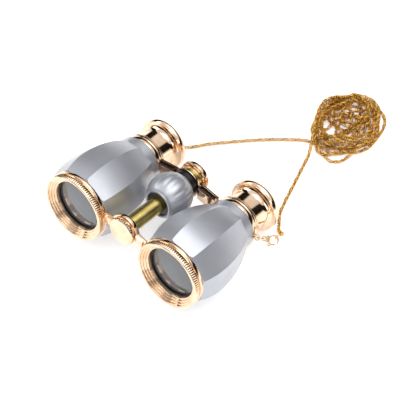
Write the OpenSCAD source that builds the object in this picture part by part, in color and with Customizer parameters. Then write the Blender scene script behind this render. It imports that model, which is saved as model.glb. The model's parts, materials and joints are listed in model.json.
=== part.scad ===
// Opera glasses with a central focusing knob and a neck chain.
// Two pearl-painted, nine-sided barrels hang on a front bridge.
// The eyepieces hang on a rear bridge. Turning the knob winds the barrels
// forward along the focusing spindle while the eyepieces stay where they are.
//
// Every sub-part is drawn in the optical frame first: X across the barrels,
// Y from the front rims towards the eyes, Z up, barrel axes in the plane z = 0.
// resting() then lays the glasses on the table, on both barrels and both eyecups.

/* [Overall] */
// Distance between the two barrel axes.
barrel_spacing = 60; // [56:1:66]
// Height of the focusing axis above the plane of the barrel axes.
focus_height = 6.2; // [5:0.1:8]
// How far the barrels can be wound forward.
focus_travel = 6; // [2:0.5:7]

/* [Barrels] */
// Flats around each barrel shell.
shell_flats = 9; // [6:1:12]
// Distance from the barrel axis to a flat at the widest place.
shell_flat_r = 19.8; // [18.5:0.1:22]
// How far behind the front rim the shell is widest.
shell_bulge_y = 17; // [14:0.5:20]
// Front end of the shell.
shell_front_y = 5.3; // [4.8:0.1:7]
// Rear end of the shell.
shell_rear_y = 48.3; // [44:0.1:56]
// Distance from the barrel axis to a flat at the front end.
shell_front_flat_r = 17.6; // [16.8:0.1:19]
// Wall of the round neck at the rear of the shell.
shell_neck_wall = 1.2; // [0.8:0.1:2]

/* [Objectives] */
// Radius of the clear opening in the bezel, which takes a push-in cap.
opening_r = 13.63; // [11:0.01:14]
// How far the knurled bezel stands out beyond its spigot.
bezel_wall = 1.73; // [1.2:0.01:2.4]
// Depth of the stepped funnel in front of the opening.
funnel_depth = 2.7; // [1.5:0.1:3.2]
// Length of the straight opening behind the funnel.
opening_length = 2; // [1:0.1:2.4]
// Wall of the spigot that holds the bezel in the bridge ring and the shell.
spigot_wall = 1.4; // [1:0.1:2]
// Wall of the front bridge rings.
front_ring_wall = 1.95; // [1.4:0.05:2.6]
// Centre thickness added by each bowed face of the objective lens.
objective_bow = 0.8; // [0.4:0.1:0.9]

/* [Eyepieces] */
// Outer radius of the draw tube.
draw_r = 10.2; // [9.6:0.05:11]
// Radial play between the draw tube and its slide bush.
slide_play = 0.05; // [0.02:0.01:0.1]
// Wall of the rear bridge rings.
rear_ring_wall = 2.7; // [2:0.1:4]
// Outer radius of the eyecup rim.
eyecup_r = 13.7; // [12.8:0.1:15]
// Length of the eyecup behind its collar.
eyecup_length = 14.6; // [13:0.1:20]
// Radius of the clear hole in front of the eye lens.
eye_hole_r = 6; // [4.5:0.1:6.2]

/* [Focusing gear] */
// Outer radius of the brass guide tube.
guide_r = 4.14; // [3.8:0.02:4.6]
// Radius of the focusing spindle.
spindle_r = 2.4; // [2:0.05:2.6]
// Radial play of the running fits on the spindle and the guide tube.
running_play = 0.05; // [0.02:0.01:0.1]
// Radius of the ball-shaped focusing knob.
knob_r = 11.5; // [10:0.1:12]
// Length of the black washer between the knob and the rear hub.
washer_length = 3.25; // [2:0.05:5]
// Length of the focusing knob between its two flat ends.
knob_length = 16.9; // [14:0.1:18]
// Radius of the front hub and of the rear hub flange.
hub_r = 8; // [7:0.1:8.4]

/* [Chain] */
// Thickness of the rope chain.
chain_d = 2; // [1.6:0.1:2.4]
// Half-width of the heap of chain.
nest_half_width = 19; // [16:0.5:24]
// Half-length of the heap of chain.
nest_half_length = 26; // [22:0.5:32]
// Height of the heap of chain.
nest_height = 6; // [4:0.5:8]
// Middle of the heap of chain on the table.
nest_centre = [28, 112];

/* [Node] */
// Sub-part to draw, or all of them.

/* [Hidden] */
$fn = 96;
tiny = 0.01;
far = 200;

// Front end, from the rims backwards.
bezel_edge = 0.5;
bezel_band_y = 3.2;
bridge_ring_y = 3.7;
bezel_lip = 1.4;
seat_r = opening_r + 0.97;
spigot_r = seat_r + spigot_wall;
bezel_r = spigot_r + bezel_wall;
front_ring_r = spigot_r + front_ring_wall;
funnel_step = (bezel_r - bezel_lip - opening_r) / 3;
seat_y = funnel_depth + opening_length;
stop_ring_wall = 0.5;
stop_ring_length = 1;
lens_front_y = seat_y + stop_ring_length;
lens_edge = 2.2;
lens_rear_y = lens_front_y + lens_edge;
retainer_length = 1.7;
retainer_wall = 1.2;
spigot_rear_y = 10.5;

// Shell, bowed flats outside and a bored cavity inside.
flat_step = 360 / shell_flats;
shell_wall = 1.9;
bush_wall = 1.85;
bush_r = draw_r + slide_play + bush_wall;
bush_front_y = shell_rear_y - 4.8;
shell_neck_r = bush_r + shell_neck_wall;
function bow_radius(run, sag) = (run * run + sag * sag) / (2 * sag);
front_bow_r = bow_radius(shell_bulge_y - shell_front_y, shell_flat_r - shell_front_flat_r);
shell_bow_r = bow_radius(bush_front_y - shell_bulge_y, shell_flat_r - shell_neck_r);
function bow_at(y) = y < shell_bulge_y ? front_bow_r : shell_bow_r;
function flat_at(y) = shell_flat_r - bow_at(y)
    + sqrt(pow(bow_at(y), 2) - pow(y - shell_bulge_y, 2));

// Rear end, from the shell backwards.
rear_gap = 0.5;
rear_ring_y = shell_rear_y + rear_gap;
rear_ring_r = draw_r + rear_ring_wall;
collar_y = rear_ring_y + 2.2;
collar_band_y = collar_y + 1.9;
collar_rear_y = collar_y + 2.8;
collar_band_r = rear_ring_r - 0.35;
collar_lip_r = rear_ring_r - 0.6;
draw_front_y = bush_front_y - focus_travel - 2.5;
draw_rear_y = collar_rear_y - 0.2;
draw_wall = 0.9;
rim_r = 1.85;
rim_y = collar_rear_y + eyecup_length - rim_r;
rim_at_r = eyecup_r - rim_r;
neck_r = draw_r + 0.1;
neck_front_y = collar_rear_y + 0.05;
lip_y = rim_y - 2.2;
flare_r = eyecup_r - 0.3 - neck_r;
flare_y = lip_y - 0.2 - flare_r;
eye_seat_y = rim_y - 9;
eye_seat_r = eye_hole_r + 0.8;
eye_lens_length = 2.4;
eye_ring_y = eye_seat_y + eye_lens_length;
eye_ring_length = 1.2;
bowl_floor_y = eye_ring_y + eye_ring_length;
bowl_mouth_r = rim_at_r - 0.8;

// Focusing axis, from the front cap backwards.
cap_y = 0.9;
cap_rear_y = 3.1;
cap_r = hub_r - 0.8;
front_hub_y = 3.6;
front_hub_rear_y = 5.5;
lock_ring_rear_y = 7.6;
lock_ring_r = guide_r + 0.96;
guide_bore_r = spindle_r + 0.5;
rear_hub_y = shell_rear_y;
rear_hub_flange = 1;
washer_rear_y = rear_hub_y - 0.6;
washer_r = hub_r - 0.5;
knob_rear_y = washer_rear_y - washer_length;
knob_front_y = knob_rear_y - knob_length;
knob_y = (knob_front_y + knob_rear_y) / 2;
knob_lip = 0.6;
guide_rear_y = knob_y - 1.4;
stop_flange_length = 1.5;
stop_flange_r = guide_r + 1.46;
knob_bore_r = stop_flange_r + 1;
front_bush_y = knob_front_y + 0.4;
front_bush_rear_y = guide_rear_y - stop_flange_length - 0.5;
nut_y = guide_rear_y + 0.6;
spindle_head_r = spindle_r + 1;
hub_core_r = spindle_head_r + 2.6;
sleeve_r = hub_core_r + 0.8;
sleeve_y = rear_hub_y + rear_hub_flange;
sleeve_rear_y = sleeve_y + 3;
spindle_head_y = rear_hub_y + 0.7;
spindle_front_y = lock_ring_rear_y + focus_travel;
hub_cap_collar_y = sleeve_rear_y + 1;
hub_cap_y = sleeve_rear_y + 1.5;
hub_cap_rear_y = hub_cap_y + 2.4;

// Rear bridge arms: upper edge at the hub and at the barrel ring.
arm_front_y = rear_hub_y - 1.9;
arm_rear_y = rear_hub_y + 2.6;
arm_clear_x = barrel_spacing / 2 - shell_neck_r - 1.2;
arm_top_hub = 4.5;
arm_drop = 2.7;
arm_height = 6.4;
arm_rail = 0.95;
arm_groove = 1.8;
groove_gap = 0.9;

// Front bridge arms.
front_arm_y = 2.7;
front_arm_clear_x = barrel_spacing / 2 - bezel_r - 0.4;
front_arm_top_hub = 3.8;
front_arm_drop = 2.6;
front_arm_height = 5.4;

// Chain fittings, in the plane of each clasp.
lug_x = rear_ring_r + 1.6;
lug_y = rear_ring_y + 1.1;
lug_stud_r = 1;
lug_eye_r = 1.5;
lug_hole_r = 0.85;
lug_thickness = 1.2;
clasp_turn = 34;
right_hang = [0, 45];
left_hang = [72, 0];
link_ring_r = 1.6;
link_wire_r = 0.33;
clasp_eye_x = 2 * link_ring_r;
clasp_eye_r = 1.25;
clasp_hole_r = 0.75;
clasp_thickness = 1.5;
clasp_slot = 0.7;
trigger_thickness = 0.5;
pivot_x = clasp_eye_x + 2.2;
pivot_drop = 0.9;
pivot_r = 0.35;
pivot_play = 0.04;
pivot_boss_r = 0.7;
thumb_ball_r = 0.85;
loop_x = pivot_x + 2.4;
loop_outer_r = 2.6;
loop_inner_r = 1.75;
gate_x = loop_x - 2.2;
gate_length = 3.9;
end_ring_r = 1.8;
end_ring_turn = 50;
end_ring_reach = 3;
chain_reach = 4.5;

// The table touches the lowest ridge or flat of each shell and each eyecup rim.
ridge_offset = abs((90 + flat_step / 2) % flat_step - flat_step / 2);
ridge_ratio = cos(ridge_offset) / cos(flat_step / 2);
function shell_reach(t) = sin(t) * shell_bulge_y
    + cos(t) * ridge_ratio * (shell_flat_r - shell_bow_r)
    + shell_bow_r * sqrt(pow(sin(t), 2) + pow(ridge_ratio * cos(t), 2));
function eyecup_reach(t) = sin(t) * rim_y + cos(t) * rim_at_r + rim_r;
function rest_tilt(low, high, steps) =
    let (mid = (low + high) / 2)
    steps == 0 ? mid :
    shell_reach(mid) > eyecup_reach(mid) ? rest_tilt(mid, high, steps - 1) :
    rest_tilt(low, mid, steps - 1);
tilt = rest_tilt(0, 25, 30);
lift = eyecup_reach(tilt);
front_y = -sin(tilt) * (bezel_r - bezel_edge);
rear_y = cos(tilt) * rim_y + sin(tilt) * rim_at_r + rim_r;
middle_y = (front_y + rear_y) / 2;
function on_table(p) = [
    p[0],
    cos(tilt) * p[1] + sin(tilt) * p[2] - middle_y,
    cos(tilt) * p[2] - sin(tilt) * p[1] + lift
];

// A point in the plane of a clasp that hangs by [drop, roll], carried into the
// optical frame on the right-hand side.
function clasp_point(x, y, hang) =
    let (
        across = y * cos(hang[1]),
        rise = y * sin(hang[1]),
        out = x * cos(hang[0]) + rise * sin(hang[0])
    )
    [
        barrel_spacing / 2 + lug_x + out * cos(clasp_turn) - across * sin(clasp_turn),
        lug_y + out * sin(clasp_turn) + across * cos(clasp_turn),
        rise * cos(hang[0]) - x * sin(hang[0])
    ];

// Routes of the two loose runs of chain on the table, from clasp to heap.
chain_r = chain_d / 2;
chain_sides = 8;
function chain_start(hang) = on_table(clasp_point(
    loop_x + chain_reach * cos(end_ring_turn),
    chain_reach * sin(end_ring_turn), hang));
right_start = chain_start(right_hang);
left_start = chain_start(left_hang);
right_route = [
    right_start,
    [right_start[0] - 1.3, right_start[1] + 3.2, right_start[2] - 6],
    [right_start[0] - 4.5, right_start[1] + 6.8, right_start[2] - 12],
    [43, 35.2, chain_r],
    [40.6, 38.4, chain_r],
    [37, 43.6, chain_r],
    [34.3, 51, chain_r],
    [31.6, 60, chain_r],
    [27, 75, chain_r],
    [24, 88.5, chain_r]
];
left_route = [
    [-left_start[0], left_start[1], left_start[2]],
    [-left_start[0] - 1.4, left_start[1] + 4.5, left_start[2] - 3.4],
    [-47.5, 29.5, chain_r],
    [-44.5, 35.5, chain_r],
    [-38, 40.5, chain_r],
    [-30, 43, chain_r],
    [-24, 48, chain_r],
    [-18, 56, chain_r],
    [0, 75, chain_r],
    [15, 89, chain_r],
    [20, 92.5, chain_r]
];
rings_per_span = 3;

// Lay the glasses on the table.
module resting() {
    translate([0, -middle_y, lift])
        rotate([-tilt, 0, 0])
            children();
}

// Turn a shape drawn along Z into one along Y, starting at y = from.
module along_y(from) {
    translate([0, from, 0])
        rotate([-90, 0, 0])
            children();
}

// A round bar or ring about the Y axis.
module band(from, to, outer, inner = 0) {
    along_y(from)
        difference() {
            cylinder(h = to - from, r = outer);
            if (inner > 0) {
                translate([0, 0, -1])
                    cylinder(h = to - from + 2, r = inner);
            }
        }
}

// Revolve an outline of [radius, y] points about the Y axis.
module turned() {
    rotate([-90, 0, 0])
        rotate_extrude()
            children();
}

// The right-hand barrel axis; the left-hand side is its mirror image.
module on_right() {
    resting()
        translate([barrel_spacing / 2, 0, 0])
            children();
}

module on_left() {
    resting()
        mirror([1, 0, 0])
            translate([barrel_spacing / 2, 0, 0])
                children();
}

module on_focus_axis() {
    resting()
        translate([0, 0, focus_height])
            children();
}

// The part of a bowed flat between two places along the barrel.
module bow(from, to, bow_r) {
    intersection() {
        translate([from, -2 * shell_flat_r])
            square([to - from, far]);
        translate([shell_bulge_y, shell_flat_r - bow_r])
            circle(r = bow_r, $fn = 360);
        translate([0, -2 * shell_flat_r])
            square([far, far]);
    }
}

// One bowed flat of the shell, seen from the side and carried right across.
module flat_slab() {
    rotate([90, 0, 90])
        linear_extrude(height = 4 * shell_flat_r, center = true) {
            bow(shell_front_y, shell_bulge_y, front_bow_r);
            bow(shell_bulge_y, shell_rear_y, shell_bow_r);
        }
}

module shell_cavity() {
    cavity_mid_y = (2 * shell_bulge_y + bush_front_y) / 3;
    cavity_rear_y = (shell_bulge_y + 3 * bush_front_y) / 4;
    turned()
        polygon([
            [0, shell_front_y - 1],
            [spigot_r, shell_front_y - 1],
            [spigot_r, spigot_rear_y + 0.5],
            [flat_at(spigot_rear_y + 3) - shell_wall, spigot_rear_y + 3],
            [shell_flat_r - shell_wall, shell_bulge_y + 2],
            [flat_at(cavity_mid_y) - shell_wall, cavity_mid_y],
            [flat_at(cavity_rear_y) - shell_wall, cavity_rear_y],
            [bush_r, bush_front_y],
            [bush_r, shell_rear_y + 1],
            [0, shell_rear_y + 1]
        ]);
}

// Takes the sharp corners off the front ends of the ridges.
module shell_nose() {
    nose_r = shell_front_flat_r + 0.7;
    turned()
        polygon([
            [0, shell_front_y],
            [nose_r, shell_front_y],
            [nose_r + 1.2, shell_front_y + 0.8],
            [nose_r + 1.2 + shell_flat_r, shell_front_y + 14],
            [nose_r + 1.2 + shell_flat_r, shell_rear_y + 1],
            [0, shell_rear_y + 1]
        ]);
}

module shell() {
    difference() {
        union() {
            intersection() {
                shell_nose();
                intersection_for (i = [0 : shell_flats - 1]) {
                    rotate([0, i * flat_step + 90, 0])
                        flat_slab();
                }
            }
            band(bush_front_y - 1, shell_rear_y, shell_neck_r);
        }
        shell_cavity();
    }
}

module barrel_shell_left() {
    color("#C9CACF") on_left() shell();
}

module barrel_shell_right() {
    color("#C9CACF") on_right() shell();
}

module slide_bush() {
    band(bush_front_y, shell_rear_y, bush_r, draw_r + slide_play);
}

module slide_bush_left() {
    color("#202022") on_left() slide_bush();
}

module slide_bush_right() {
    color("#202022") on_right() slide_bush();
}

module bezel() {
    step = funnel_depth / 3;
    turned()
        polygon([
            [bezel_r - bezel_lip, 0],
            [bezel_r - bezel_edge, 0],
            [bezel_r, bezel_edge],
            [bezel_r, bezel_band_y],
            [bezel_r - 0.5, bezel_band_y],
            [bezel_r - 0.5, bridge_ring_y],
            [spigot_r, bridge_ring_y],
            [spigot_r, spigot_rear_y],
            [seat_r, spigot_rear_y],
            [seat_r, seat_y],
            [opening_r, seat_y],
            [opening_r, funnel_depth],
            [opening_r + funnel_step, funnel_depth],
            [opening_r + funnel_step, 2 * step],
            [opening_r + 2 * funnel_step, 2 * step],
            [opening_r + 2 * funnel_step, step],
            [bezel_r - bezel_lip, step]
        ]);
}

module objective_bezel_left() {
    color("#E8B48C") on_left() bezel();
}

module objective_bezel_right() {
    color("#E8B48C") on_right() bezel();
}

module objective_stop_ring() {
    band(seat_y, lens_front_y, seat_r, opening_r - stop_ring_wall);
}

module objective_stop_ring_left() {
    color("#161616") on_left() objective_stop_ring();
}

module objective_stop_ring_right() {
    color("#161616") on_right() objective_stop_ring();
}

// Both faces bow outwards by objective_bow over the clear hole of the stop ring.
module objective_lens() {
    clear_r = opening_r - stop_ring_wall - 0.1;
    face_r = (clear_r * clear_r + objective_bow * objective_bow) / (2 * objective_bow);
    turned()
        union() {
            translate([0, lens_front_y])
                square([seat_r, lens_edge]);
            for (centre = [lens_front_y - objective_bow + face_r,
                           lens_rear_y + objective_bow - face_r]) {
                intersection() {
                    translate([0, centre])
                        circle(r = face_r, $fn = 360);
                    translate([0, lens_front_y - objective_bow])
                        square([clear_r, lens_edge + 2 * objective_bow]);
                    translate([0, centre < lens_front_y ? lens_front_y : lens_front_y - far])
                        square([clear_r, centre < lens_front_y ? far : far + lens_edge]);
                }
            }
        }
}

module objective_lens_left() {
    color("#74787C") on_left() objective_lens();
}

module objective_lens_right() {
    color("#74787C") on_right() objective_lens();
}

module objective_retainer() {
    band(lens_rear_y, lens_rear_y + retainer_length, seat_r, seat_r - retainer_wall);
}

module objective_retainer_left() {
    color("#161616") on_left() objective_retainer();
}

module objective_retainer_right() {
    color("#161616") on_right() objective_retainer();
}

// Outline of a front bridge arm, seen from the front.
module front_arm_outline(from, to, inset = 0) {
    fall = front_arm_drop / (barrel_spacing / 2 - front_ring_r);
    top = front_arm_top_hub - inset;
    bottom = front_arm_top_hub - front_arm_height + inset;
    polygon([
        [from, top - fall * from],
        [to, top - fall * to],
        [to, bottom - 0.7 * fall * to],
        [from, bottom - 0.7 * fall * from]
    ]);
}

// A flat bar with a slightly narrower raised face.
module front_arm() {
    inner_x = guide_r + 1.5;
    ring_x = barrel_spacing / 2 - spigot_r - 0.9;
    bar_rear_y = shell_front_y - 0.2;
    translate([0, bar_rear_y, focus_height])
        rotate([90, 0, 0]) {
            linear_extrude(height = bar_rear_y - bridge_ring_y - 0.2)
                front_arm_outline(inner_x, ring_x);
            translate([0, 0, 0.5])
                linear_extrude(height = bar_rear_y - front_arm_y - 0.5)
                    front_arm_outline(hub_r - 0.5, front_arm_clear_x, 0.4);
        }
}

module front_bridge() {
    color("#E8B48C")
        resting()
            difference() {
                union() {
                    for (side = [0, 1]) {
                        mirror([side, 0, 0]) {
                            translate([barrel_spacing / 2, 0, 0])
                                band(bridge_ring_y, shell_front_y, front_ring_r);
                            front_arm();
                        }
                    }
                    translate([0, 0, focus_height])
                        band(front_hub_y, front_hub_rear_y, hub_r);
                }
                for (side = [-1, 1]) {
                    translate([side * barrel_spacing / 2, 0, 0])
                        band(0, shell_front_y + 1, spigot_r);
                }
                translate([0, 0, focus_height])
                    band(0, front_hub_rear_y + 1, guide_r);
            }
}

module guide_tube() {
    color("#B89A48") on_focus_axis() band(front_hub_y, guide_rear_y, guide_r, guide_bore_r);
}

module guide_tube_stop() {
    color("#B89A48")
        on_focus_axis()
            band(guide_rear_y - stop_flange_length, guide_rear_y, stop_flange_r, guide_r);
}

module guide_tube_lock_ring() {
    color("#3A3228")
        on_focus_axis()
            band(front_hub_rear_y, lock_ring_rear_y, lock_ring_r, guide_r);
}

module front_cap() {
    color("#E0B890")
        on_focus_axis() {
            band(cap_y, cap_rear_y, cap_r);
            band(cap_rear_y - tiny, front_hub_y, cap_r - 0.8);
            band(front_hub_y - tiny, lock_ring_rear_y, guide_bore_r);
        }
}

module focus_knob() {
    lip_r = sqrt(knob_r * knob_r - knob_length * knob_length / 4) + 0.15;
    color("#B4B5BA")
        on_focus_axis()
            turned()
                difference() {
                    union() {
                        intersection() {
                            translate([0, knob_y])
                                circle(r = knob_r);
                            translate([0, knob_front_y])
                                square([knob_r + 1, knob_length]);
                        }
                        translate([0, knob_front_y - knob_lip])
                            square([lip_r, knob_lip + 0.4]);
                    }
                    translate([-far, 0])
                        square([far + knob_bore_r, far]);
                }
}

module knob_front_bush() {
    color("#161616")
        on_focus_axis()
            band(front_bush_y, front_bush_rear_y, knob_bore_r, guide_r + running_play);
}

module spindle_nut() {
    color("#B89A48")
        on_focus_axis()
            band(nut_y, knob_rear_y, knob_bore_r, spindle_r + running_play);
}

module knob_rear_washer() {
    color("#161616")
        on_focus_axis()
            band(knob_rear_y, washer_rear_y, washer_r, spindle_head_r);
}

module focus_spindle() {
    color("#A88A40")
        on_focus_axis() {
            band(spindle_front_y, spindle_head_y + tiny, spindle_r);
            band(spindle_head_y, sleeve_rear_y, spindle_head_r);
        }
}

// Outline of a rear bridge arm, seen from behind and in front.
module rear_arm_outline(from, to, top, height) {
    fall = arm_drop / (barrel_spacing / 2 - rear_ring_r);
    polygon([
        [from, top - fall * from],
        [to, top - fall * to],
        [to, top - height - fall * to],
        [from, top - height - fall * from]
    ]);
}

module rear_arm() {
    top = arm_top_hub;
    ring_x = barrel_spacing / 2 - draw_r - 1.2;
    translate([0, 0, focus_height])
        rotate([90, 0, 0])
            difference() {
                union() {
                    translate([0, 0, -arm_rear_y])
                        linear_extrude(height = arm_rear_y - rear_ring_y)
                            rear_arm_outline(sleeve_r, ring_x, top, arm_height);
                    translate([0, 0, -rear_ring_y - tiny])
                        linear_extrude(height = rear_ring_y + tiny - arm_front_y)
                            rear_arm_outline(hub_r + 0.6, arm_clear_x, top, arm_height);
                    translate([0, 0, -rear_ring_y - tiny])
                        linear_extrude(height = rear_ring_y + tiny - rear_hub_y)
                            rear_arm_outline(sleeve_r, arm_clear_x, top, arm_height);
                }
                translate([0, 0, -arm_rear_y + arm_rail])
                    linear_extrude(height = arm_rear_y - arm_front_y - 2 * arm_rail)
                        rear_arm_outline(hub_r + groove_gap, ring_x - groove_gap, top + 1,
                            arm_groove + 1);
            }
}

module rear_bridge() {
    color("#E8B48C")
        resting()
            difference() {
                union() {
                    for (side = [0, 1]) {
                        mirror([side, 0, 0]) {
                            translate([barrel_spacing / 2, 0, 0])
                                band(rear_ring_y, collar_y, rear_ring_r);
                            rear_arm();
                        }
                    }
                    translate([0, 0, focus_height]) {
                        band(rear_hub_y, sleeve_y, hub_r);
                        band(rear_hub_y, sleeve_rear_y, hub_core_r);
                    }
                }
                for (side = [-1, 1]) {
                    translate([side * barrel_spacing / 2, 0, 0]) {
                        band(rear_ring_y - 1, collar_rear_y, draw_r);
                        band(collar_y, collar_rear_y + 2, rear_ring_r + 0.1);
                    }
                }
                translate([0, 0, focus_height])
                    band(rear_hub_y - 1, sleeve_rear_y + 1, spindle_head_r);
            }
}

module rear_hub_sleeve() {
    color("#B89A48") on_focus_axis() band(sleeve_y, sleeve_rear_y, sleeve_r, hub_core_r);
}

module rear_hub_cap() {
    color("#E0B890")
        on_focus_axis() {
            band(sleeve_rear_y, hub_cap_collar_y, hub_r - 0.4);
            band(hub_cap_collar_y - tiny, hub_cap_y + tiny, hub_r - 0.9);
            band(hub_cap_y, hub_cap_rear_y, hub_r + 0.1);
        }
}

module draw_tube() {
    band(draw_front_y, draw_rear_y, draw_r, draw_r - draw_wall);
}

module draw_tube_left() {
    color("#D8B488") on_left() draw_tube();
}

module draw_tube_right() {
    color("#D8B488") on_right() draw_tube();
}

module knurled_collar() {
    turned()
        polygon([
            [draw_r, collar_y],
            [collar_band_r, collar_y],
            [collar_band_r, collar_band_y],
            [collar_band_r - 0.5, collar_band_y],
            [collar_band_r - 0.5, collar_band_y + 0.2],
            [collar_lip_r, collar_band_y + 0.2],
            [collar_lip_r, collar_rear_y - 0.3],
            [collar_lip_r - 0.3, collar_rear_y],
            [draw_r, collar_rear_y]
        ]);
}

module knurled_collar_left() {
    color("#E8B48C") on_left() knurled_collar();
}

module knurled_collar_right() {
    color("#E8B48C") on_right() knurled_collar();
}

// Neck, concave flare, stepped lip and thick rounded rim; a bowl inside.
module eyecup() {
    spigot_front_y = draw_rear_y - 3.2;
    turned()
        difference() {
            union() {
                polygon([
                    [0, spigot_front_y],
                    [draw_r - draw_wall, spigot_front_y],
                    [draw_r - draw_wall, neck_front_y],
                    [neck_r, neck_front_y],
                    [neck_r, flare_y],
                    [neck_r + flare_r, flare_y],
                    [neck_r + flare_r, lip_y],
                    [eyecup_r - 0.1, lip_y + 0.5],
                    [rim_at_r + rim_r, rim_y],
                    [rim_at_r, rim_y + rim_r],
                    [0, rim_y + rim_r]
                ]);
                translate([rim_at_r, rim_y])
                    circle(r = rim_r);
            }
            translate([neck_r + flare_r, flare_y])
                circle(r = flare_r);
            polygon([
                [-1, spigot_front_y - 1],
                [eye_hole_r, spigot_front_y - 1],
                [eye_hole_r, eye_seat_y],
                [eye_seat_r, eye_seat_y],
                [eye_seat_r, bowl_floor_y],
                [bowl_mouth_r, rim_y + rim_r - 0.4],
                [rim_at_r, rim_y + rim_r + tiny],
                [rim_at_r, rim_y + rim_r + 1],
                [-1, rim_y + rim_r + 1]
            ]);
            translate([-far, 0])
                square([far, far]);
        }
}

module eyecup_left() {
    color("#E8C8A4") on_left() eyecup();
}

module eyecup_right() {
    color("#E8C8A4") on_right() eyecup();
}

module eye_lens() {
    hollow_r = 20;
    difference() {
        band(eye_seat_y, eye_ring_y, eye_seat_r);
        translate([0, eye_seat_y + 0.7 - hollow_r, 0])
            sphere(r = hollow_r);
        translate([0, eye_ring_y - 0.7 + hollow_r, 0])
            sphere(r = hollow_r);
    }
}

module eye_lens_left() {
    color("#9AA0A6") on_left() eye_lens();
}

module eye_lens_right() {
    color("#9AA0A6") on_right() eye_lens();
}

module eye_lens_ring() {
    band(eye_ring_y, bowl_floor_y, eye_seat_r, eye_seat_r - 1);
}

module eye_lens_ring_left() {
    color("#161616") on_left() eye_lens_ring();
}

module eye_lens_ring_right() {
    color("#161616") on_right() eye_lens_ring();
}

// A short stud on the outer side of the rear bridge ring, ending in an eye
// that is turned to face the same way as the clasp.
module chain_lug(hang) {
    difference() {
        union() {
            translate([rear_ring_r - 0.9, lug_y, 0])
                rotate([0, 90, 0])
                    cylinder(h = 1.3, r = lug_stud_r);
            in_clasp_plane(hang)
                translate([0, 0, -lug_thickness / 2])
                    cylinder(h = lug_thickness, r = lug_eye_r);
        }
        band(rear_ring_y - 2, collar_y + 2, rear_ring_r);
        in_clasp_plane(hang)
            translate([0, 0, -far])
                cylinder(h = 2 * far, r = lug_hole_r);
    }
}

module chain_lug_left() {
    color("#D8A468") on_left() chain_lug(left_hang);
}

module chain_lug_right() {
    color("#D8A468") on_right() chain_lug(right_hang);
}

// The flat plane of a clasp: x runs from the lug to the chain, y across.
module in_clasp_plane(hang) {
    translate([lug_x, lug_y, 0])
        rotate([0, 0, clasp_turn])
            rotate([0, hang[0], 0])
                rotate([hang[1], 0, 0])
                    children();
}

module wire_ring(ring_r, wire_r) {
    rotate_extrude()
        translate([ring_r, 0])
            circle(r = wire_r, $fn = 32);
}

// The link ring stands across the clasp, so that it can pass through both eyes.
module link_ring(hang) {
    in_clasp_plane(hang)
        translate([link_ring_r, 0, 0])
            rotate([90, 0, 0])
                wire_ring(link_ring_r, link_wire_r);
}

module link_ring_left() {
    color("#C88A38") on_left() link_ring(left_hang);
}

module link_ring_right() {
    color("#C88A38") on_right() link_ring(right_hang);
}

// Handle with an eye, then a round hook left open on the trigger's side.
module clasp_body(hang) {
    in_clasp_plane(hang)
        difference() {
            translate([0, 0, -clasp_thickness / 2])
                linear_extrude(height = clasp_thickness)
                    difference() {
                        union() {
                            translate([clasp_eye_x, 0])
                                circle(r = clasp_eye_r);
                            translate([clasp_eye_x, -clasp_eye_r])
                                square([pivot_x + 0.6 - clasp_eye_x, 2 * clasp_eye_r]);
                            translate([pivot_x - 0.8, -1.6])
                                square([1.6, 3.5]);
                            translate([loop_x, 0])
                                circle(r = loop_outer_r);
                        }
                        translate([loop_x, 0])
                            circle(r = loop_inner_r);
                        translate([gate_x, -far - 0.5])
                            square([gate_length, far]);
                    }
            translate([clasp_eye_x, 0, -far])
                cylinder(h = 2 * far, r = clasp_hole_r);
            translate([pivot_x - pivot_boss_r - 0.2, -far, -clasp_slot / 2])
                cube([2 * pivot_boss_r + 0.7, far, clasp_slot]);
            translate([pivot_x, -pivot_drop, -far])
                cylinder(h = 2 * far, r = pivot_r);
        }
}

module clasp_body_left() {
    color("#C88A38") on_left() clasp_body(left_hang);
}

module clasp_body_right() {
    color("#C88A38") on_right() clasp_body(right_hang);
}

// Curved lever that closes the hook, with a thumb ball on its outer side.
module clasp_trigger(hang) {
    in_clasp_plane(hang)
        difference() {
            union() {
                translate([0, 0, -trigger_thickness / 2])
                    linear_extrude(height = trigger_thickness) {
                        translate([pivot_x, -pivot_drop])
                            circle(r = pivot_boss_r);
                        translate([pivot_x, -pivot_drop - 0.9])
                            square([0.9, 0.9]);
                        intersection() {
                            difference() {
                                translate([loop_x, 0])
                                    circle(r = loop_outer_r);
                                translate([loop_x, 0])
                                    circle(r = loop_outer_r - 0.7);
                            }
                            translate([loop_x - 2.7, -far - pivot_drop - 0.2])
                                square([4, far]);
                        }
                    }
                translate([pivot_x + 0.6, -pivot_drop - 1.7, 0])
                    sphere(r = thumb_ball_r);
            }
            translate([pivot_x, -pivot_drop, -2])
                cylinder(h = 4, r = pivot_r + pivot_play);
        }
}

module clasp_trigger_left() {
    color("#D8A040") on_left() clasp_trigger(left_hang);
}

module clasp_trigger_right() {
    color("#D8A040") on_right() clasp_trigger(right_hang);
}

module clasp_rivet(hang) {
    in_clasp_plane(hang)
        translate([pivot_x, -pivot_drop, -clasp_thickness / 2])
            cylinder(h = clasp_thickness, r = pivot_r);
}

module clasp_rivets() {
    color("#B07828") {
        on_left() clasp_rivet(left_hang);
        on_right() clasp_rivet(right_hang);
    }
}

// The ring on the end of the chain, hooked round the far side of the loop.
module chain_end_ring(hang) {
    in_clasp_plane(hang)
        translate([loop_x, 0, 0])
            rotate([0, 0, end_ring_turn])
                translate([end_ring_reach, 0, 0])
                    rotate([90, 0, 0])
                        wire_ring(end_ring_r, link_wire_r);
}

module chain_end_ring_left() {
    color("#C88A38") on_left() chain_end_ring(left_hang);
}

module chain_end_ring_right() {
    color("#C88A38") on_right() chain_end_ring(right_hang);
}

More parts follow.
